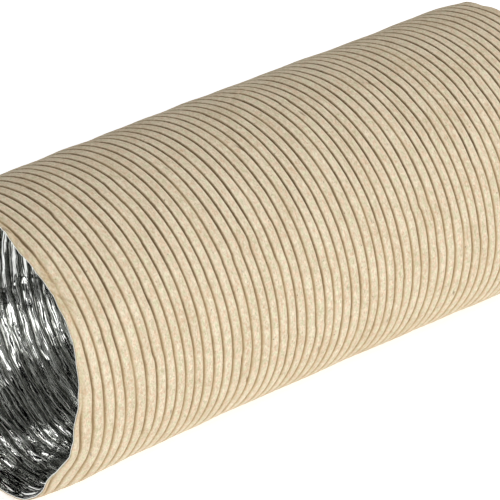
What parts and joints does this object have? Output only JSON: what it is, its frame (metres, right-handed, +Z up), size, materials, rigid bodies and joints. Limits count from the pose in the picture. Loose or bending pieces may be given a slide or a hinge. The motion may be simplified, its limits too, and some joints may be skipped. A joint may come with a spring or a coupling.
{
  "type": "flexible air duct",
  "caption": "Cut length of round flexible air duct: a finely corrugated brown kraft paper tube lined with aluminium foil, open at both ends, that bends and stretches.",
  "frame": {"origin": "bottom centre of the duct: on the plane it lies on, midway between the two cut ends", "axes": "+X along the duct's axis, towards the far end; +Z up"},
  "size_m": [0.141, 0.0636, 0.0636],
  "materials": {
    "kraft_paper": "uncoated matte kraft paper, pressed into fine ribs",
    "aluminium_foil": "bright crinkled foil"
  },
  "bodies": {
    "duct_stretch_01": {"kraft_cover_01": "kraft_paper", "foil_liner_01": "aluminium_foil", "kraft_flex_01": "kraft_paper", "foil_flex_01": "aluminium_foil"},
    "duct_stretch_02": {"kraft_cover_02": "kraft_paper", "foil_liner_02": "aluminium_foil", "kraft_flex_02": "kraft_paper", "foil_flex_02": "aluminium_foil"},
    "duct_stretch_03": {"kraft_cover_03": "kraft_paper", "foil_liner_03": "aluminium_foil", "kraft_flex_03": "kraft_paper", "foil_flex_03": "aluminium_foil"},
    "duct_stretch_04": {"kraft_cover_04": "kraft_paper", "foil_liner_04": "aluminium_foil", "kraft_flex_04": "kraft_paper", "foil_flex_04": "aluminium_foil"},
    "duct_stretch_05": {"kraft_cover_05": "kraft_paper", "foil_liner_05": "aluminium_foil", "kraft_flex_05": "kraft_paper", "foil_flex_05": "aluminium_foil"},
    "duct_stretch_06": {"kraft_cover_06": "kraft_paper", "foil_liner_06": "aluminium_foil", "kraft_flex_06": "kraft_paper", "foil_flex_06": "aluminium_foil"},
    "duct_stretch_07": {"kraft_cover_07": "kraft_paper", "foil_liner_07": "aluminium_foil", "kraft_flex_07": "kraft_paper", "foil_flex_07": "aluminium_foil"},
    "duct_stretch_08": {"kraft_cover_08": "kraft_paper", "foil_liner_08": "aluminium_foil", "kraft_flex_08": "kraft_paper", "foil_flex_08": "aluminium_foil"},
    "duct_stretch_09": {"kraft_cover_09": "kraft_paper", "foil_liner_09": "aluminium_foil", "kraft_flex_09": "kraft_paper", "foil_flex_09": "aluminium_foil"},
    "duct_stretch_10": {"kraft_cover_10": "kraft_paper", "foil_liner_10": "aluminium_foil", "kraft_flex_10": "kraft_paper", "foil_flex_10": "aluminium_foil"},
    "duct_stretch_11": {"kraft_cover_11": "kraft_paper", "foil_liner_11": "aluminium_foil", "kraft_flex_11": "kraft_paper", "foil_flex_11": "aluminium_foil"},
    "duct_stretch_12": {"kraft_cover_12": "kraft_paper", "foil_liner_12": "aluminium_foil"}
  },
  "joints": [
    {"name": "bend_a_1", "type": "hinge", "parent": "duct_stretch_02", "child": "duct_stretch_01", "pos_m": [-0.05875, 0, 0.0318], "axis": [0, 0.7071, 0.7071], "range_deg": [-8, 8], "deforming": ["kraft_flex_01", "foil_flex_01"]},
    {"name": "bend_b_1", "type": "hinge", "parent": "duct_stretch_03", "child": "duct_stretch_02", "pos_m": [-0.047, 0, 0.0318], "axis": [0, 0.7071, -0.7071], "range_deg": [-8, 8], "deforming": ["kraft_flex_02", "foil_flex_02"]},
    {"name": "stretch_1", "type": "slide", "parent": "duct_stretch_04", "child": "duct_stretch_03", "axis": [-1, 0, 0], "range_m": [-0.0015, 0.003], "deforming": ["kraft_flex_03", "foil_flex_03"]},
    {"name": "bend_a_2", "type": "hinge", "parent": "duct_stretch_05", "child": "duct_stretch_04", "pos_m": [-0.0235, 0, 0.0318], "axis": [0, 0.7071, 0.7071], "range_deg": [-8, 8], "deforming": ["kraft_flex_04", "foil_flex_04"]},
    {"name": "bend_b_2", "type": "hinge", "parent": "duct_stretch_06", "child": "duct_stretch_05", "pos_m": [-0.01175, 0, 0.0318], "axis": [0, 0.7071, -0.7071], "range_deg": [-8, 8], "deforming": ["kraft_flex_05", "foil_flex_05"]},
    {"name": "stretch_2", "type": "slide", "parent": "duct_stretch_06", "child": "duct_stretch_07", "axis": [1, 0, 0], "range_m": [-0.0015, 0.003], "deforming": ["kraft_flex_06", "foil_flex_06"]},
    {"name": "bend_b_3", "type": "hinge", "parent": "duct_stretch_07", "child": "duct_stretch_08", "pos_m": [0.01175, 0, 0.0318], "axis": [0, -0.7071, 0.7071], "range_deg": [-8, 8], "deforming": ["kraft_flex_07", "foil_flex_07"]},
    {"name": "bend_a_3", "type": "hinge", "parent": "duct_stretch_08", "child": "duct_stretch_09", "pos_m": [0.0235, 0, 0.0318], "axis": [0, -0.7071, -0.7071], "range_deg": [-8, 8], "deforming": ["kraft_flex_08", "foil_flex_08"]},
    {"name": "stretch_3", "type": "slide", "parent": "duct_stretch_09", "child": "duct_stretch_10", "axis": [1, 0, 0], "range_m": [-0.0015, 0.003], "deforming": ["kraft_flex_09", "foil_flex_09"]},
    {"name": "bend_b_4", "type": "hinge", "parent": "duct_stretch_10", "child": "duct_stretch_11", "pos_m": [0.047, 0, 0.0318], "axis": [0, -0.7071, 0.7071], "range_deg": [-8, 8], "deforming": ["kraft_flex_10", "foil_flex_10"]},
    {"name": "bend_a_4", "type": "hinge", "parent": "duct_stretch_11", "child": "duct_stretch_12", "pos_m": [0.05875, 0, 0.0318], "axis": [0, -0.7071, -0.7071], "range_deg": [-8, 8], "deforming": ["kraft_flex_11", "foil_flex_11"]}
  ],
  "couplings": [
    {"joint": "bend_a_1", "follows": "bend_a_2", "ratio": 1},
    {"joint": "bend_b_1", "follows": "bend_b_2", "ratio": 1},
    {"joint": "stretch_1", "follows": "stretch_2", "ratio": 1},
    {"joint": "bend_b_3", "follows": "bend_b_2", "ratio": 1},
    {"joint": "bend_a_3", "follows": "bend_a_2", "ratio": 1},
    {"joint": "stretch_3", "follows": "stretch_2", "ratio": 1},
    {"joint": "bend_b_4", "follows": "bend_b_2", "ratio": 1},
    {"joint": "bend_a_4", "follows": "bend_a_2", "ratio": 1}
  ]
}
